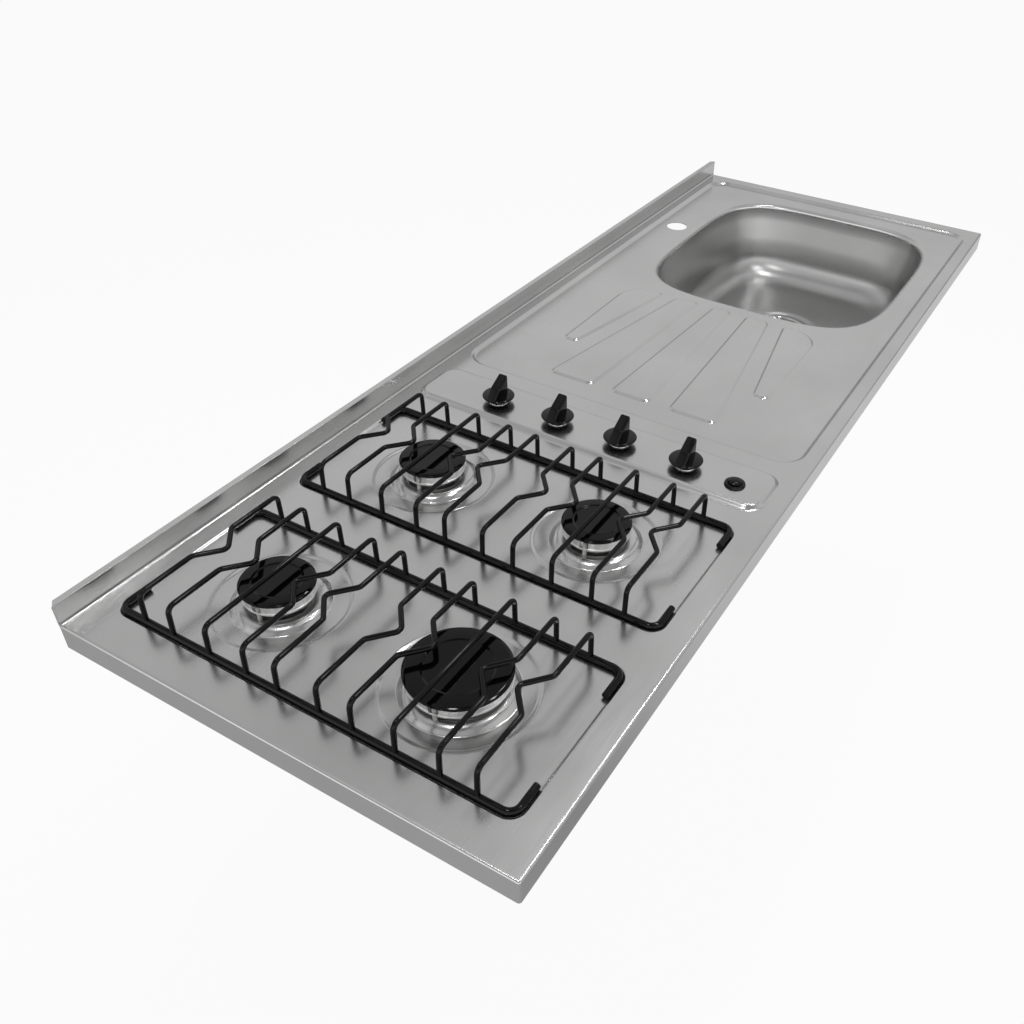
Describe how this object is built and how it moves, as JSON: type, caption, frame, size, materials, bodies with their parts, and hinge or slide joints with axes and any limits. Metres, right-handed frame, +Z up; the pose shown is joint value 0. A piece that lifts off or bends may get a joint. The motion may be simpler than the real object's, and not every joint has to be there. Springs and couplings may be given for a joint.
{
  "type": "kitchenette worktop unit with sink and hob",
  "caption": "Pressed steel kitchenette worktop with gas hob, knob strip, ribbed drainer and deep sink; pan supports lift off, knobs push and turn, waste basket lifts out.",
  "frame": {"origin": "middle of the rear return flange's underside, under the upstand's front face", "axes": "+X along the worktop from the hob to the sink, +Y towards the wall, +Z up"},
  "size_m": [1.5, 0.528, 0.2868],
  "materials": {
    "brushed_steel": "satin",
    "polished_steel": "polished",
    "cast_aluminium": "brushed",
    "black_enamel": "gloss",
    "black_plastic": "semi-gloss",
    "galvanised_steel": "zinc plated",
    "brass": "machined",
    "ceramic": "plain",
    "rubber": "matte",
    "grey_plastic": "matte"
  },
  "bodies": {
    "worktop": {"worktop_sheet": "brushed_steel", "sink_bowl": "brushed_steel", "strainer_cup": "polished_steel", "drain_gasket": "rubber", "drain_locknut": "grey_plastic", "tail_nut": "grey_plastic", "drain_tailpiece": "grey_plastic", "burner_cup_front_left": "cast_aluminium", "electrode_front_left": "ceramic", "feed_tube_front_left": "cast_aluminium", "burner_cup_rear_left": "cast_aluminium", "electrode_rear_left": "ceramic", "feed_tube_rear_left": "cast_aluminium", "burner_cup_front_right": "cast_aluminium", "electrode_front_right": "ceramic", "feed_tube_front_right": "cast_aluminium", "burner_cup_rear_right": "cast_aluminium", "electrode_rear_right": "ceramic", "feed_tube_rear_right": "cast_aluminium", "knob_bezel_1": "polished_steel", "tap_body_1": "brass", "knob_bezel_2": "polished_steel", "tap_body_2": "brass", "knob_bezel_3": "polished_steel", "tap_body_3": "brass", "knob_bezel_4": "polished_steel", "tap_body_4": "brass", "gas_rail": "galvanised_steel", "gas_inlet": "brass", "rail_bracket_front": "galvanised_steel", "rail_bracket_rear": "galvanised_steel", "button_collar": "black_plastic", "spark_generator": "black_plastic", "stiffener_left": "galvanised_steel", "stiffener_right": "galvanised_steel"},
    "pan_support_left": {"pan_support_left": "black_enamel"},
    "pan_support_right": {"pan_support_right": "black_enamel"},
    "burner_crown_front_left": {"burner_crown_front_left": "cast_aluminium"},
    "burner_cap_front_left": {"burner_cap_front_left": "black_enamel"},
    "burner_crown_rear_left": {"burner_crown_rear_left": "cast_aluminium"},
    "burner_cap_rear_left": {"burner_cap_rear_left": "black_enamel"},
    "burner_crown_front_right": {"burner_crown_front_right": "cast_aluminium"},
    "burner_cap_front_right": {"burner_cap_front_right": "black_enamel"},
    "burner_crown_rear_right": {"burner_crown_rear_right": "cast_aluminium"},
    "burner_cap_rear_right": {"burner_cap_rear_right": "black_enamel"},
    "tap_plug_1": {"tap_plug_1": "brass"},
    "knob_1": {"knob_1": "black_plastic", "tap_spindle_1": "polished_steel"},
    "tap_plug_2": {"tap_plug_2": "brass"},
    "knob_2": {"knob_2": "black_plastic", "tap_spindle_2": "polished_steel"},
    "tap_plug_3": {"tap_plug_3": "brass"},
    "knob_3": {"knob_3": "black_plastic", "tap_spindle_3": "polished_steel"},
    "tap_plug_4": {"tap_plug_4": "brass"},
    "knob_4": {"knob_4": "black_plastic", "tap_spindle_4": "polished_steel"},
    "ignition_button": {"ignition_button": "black_plastic"},
    "strainer_basket": {"strainer_basket": "polished_steel"}
  },
  "joints": [
    {"name": "pan_support_left_lift", "type": "slide", "parent": "worktop", "child": "pan_support_left", "axis": [0, 0, 1], "range_m": [0, 0.08]},
    {"name": "pan_support_right_lift", "type": "slide", "parent": "worktop", "child": "pan_support_right", "axis": [0, 0, 1], "range_m": [0, 0.08]},
    {"name": "burner_crown_front_left_lift", "type": "slide", "parent": "worktop", "child": "burner_crown_front_left", "axis": [0, 0, 1], "range_m": [0, 0.003]},
    {"name": "burner_cap_front_left_lift", "type": "slide", "parent": "burner_crown_front_left", "child": "burner_cap_front_left", "axis": [0, 0, 1], "range_m": [0, 0.004]},
    {"name": "burner_crown_rear_left_lift", "type": "slide", "parent": "worktop", "child": "burner_crown_rear_left", "axis": [0, 0, 1], "range_m": [0, 0.003]},
    {"name": "burner_cap_rear_left_lift", "type": "slide", "parent": "burner_crown_rear_left", "child": "burner_cap_rear_left", "axis": [0, 0, 1], "range_m": [0, 0.004]},
    {"name": "burner_crown_front_right_lift", "type": "slide", "parent": "worktop", "child": "burner_crown_front_right", "axis": [0, 0, 1], "range_m": [0, 0.003]},
    {"name": "burner_cap_front_right_lift", "type": "slide", "parent": "burner_crown_front_right", "child": "burner_cap_front_right", "axis": [0, 0, 1], "range_m": [0, 0.004]},
    {"name": "burner_crown_rear_right_lift", "type": "slide", "parent": "worktop", "child": "burner_crown_rear_right", "axis": [0, 0, 1], "range_m": [0, 0.003]},
    {"name": "burner_cap_rear_right_lift", "type": "slide", "parent": "burner_crown_rear_right", "child": "burner_cap_rear_right", "axis": [0, 0, 1], "range_m": [0, 0.004]},
    {"name": "tap_1_turn", "type": "hinge", "parent": "worktop", "child": "tap_plug_1", "pos_m": [-0.192, -0.1255, 0.028], "axis": [0, 0, 1], "range_deg": [0, 200]},
    {"name": "knob_1_push", "type": "slide", "parent": "tap_plug_1", "child": "knob_1", "axis": [0, 0, -1], "range_m": [0, 0.0025], "stiffness_N_per_m": 800, "springref_m": -0.002},
    {"name": "tap_2_turn", "type": "hinge", "parent": "worktop", "child": "tap_plug_2", "pos_m": [-0.192, -0.2135, 0.028], "axis": [0, 0, 1], "range_deg": [0, 200]},
    {"name": "knob_2_push", "type": "slide", "parent": "tap_plug_2", "child": "knob_2", "axis": [0, 0, -1], "range_m": [0, 0.0025], "stiffness_N_per_m": 800, "springref_m": -0.002},
    {"name": "tap_3_turn", "type": "hinge", "parent": "worktop", "child": "tap_plug_3", "pos_m": [-0.192, -0.3015, 0.028], "axis": [0, 0, 1], "range_deg": [0, 200]},
    {"name": "knob_3_push", "type": "slide", "parent": "tap_plug_3", "child": "knob_3", "axis": [0, 0, -1], "range_m": [0, 0.0025], "stiffness_N_per_m": 800, "springref_m": -0.002},
    {"name": "tap_4_turn", "type": "hinge", "parent": "worktop", "child": "tap_plug_4", "pos_m": [-0.192, -0.3895, 0.028], "axis": [0, 0, 1], "range_deg": [0, 200]},
    {"name": "knob_4_push", "type": "slide", "parent": "tap_plug_4", "child": "knob_4", "axis": [0, 0, -1], "range_m": [0, 0.0025], "stiffness_N_per_m": 800, "springref_m": -0.002},
    {"name": "ignition_button_push", "type": "slide", "parent": "worktop", "child": "ignition_button", "axis": [0, 0, -1], "range_m": [0, 0.003], "stiffness_N_per_m": 500, "springref_m": -0.002},
    {"name": "strainer_basket_lift", "type": "slide", "parent": "worktop", "child": "strainer_basket", "axis": [0, 0, 1], "range_m": [0, 0.2]}
  ]
}
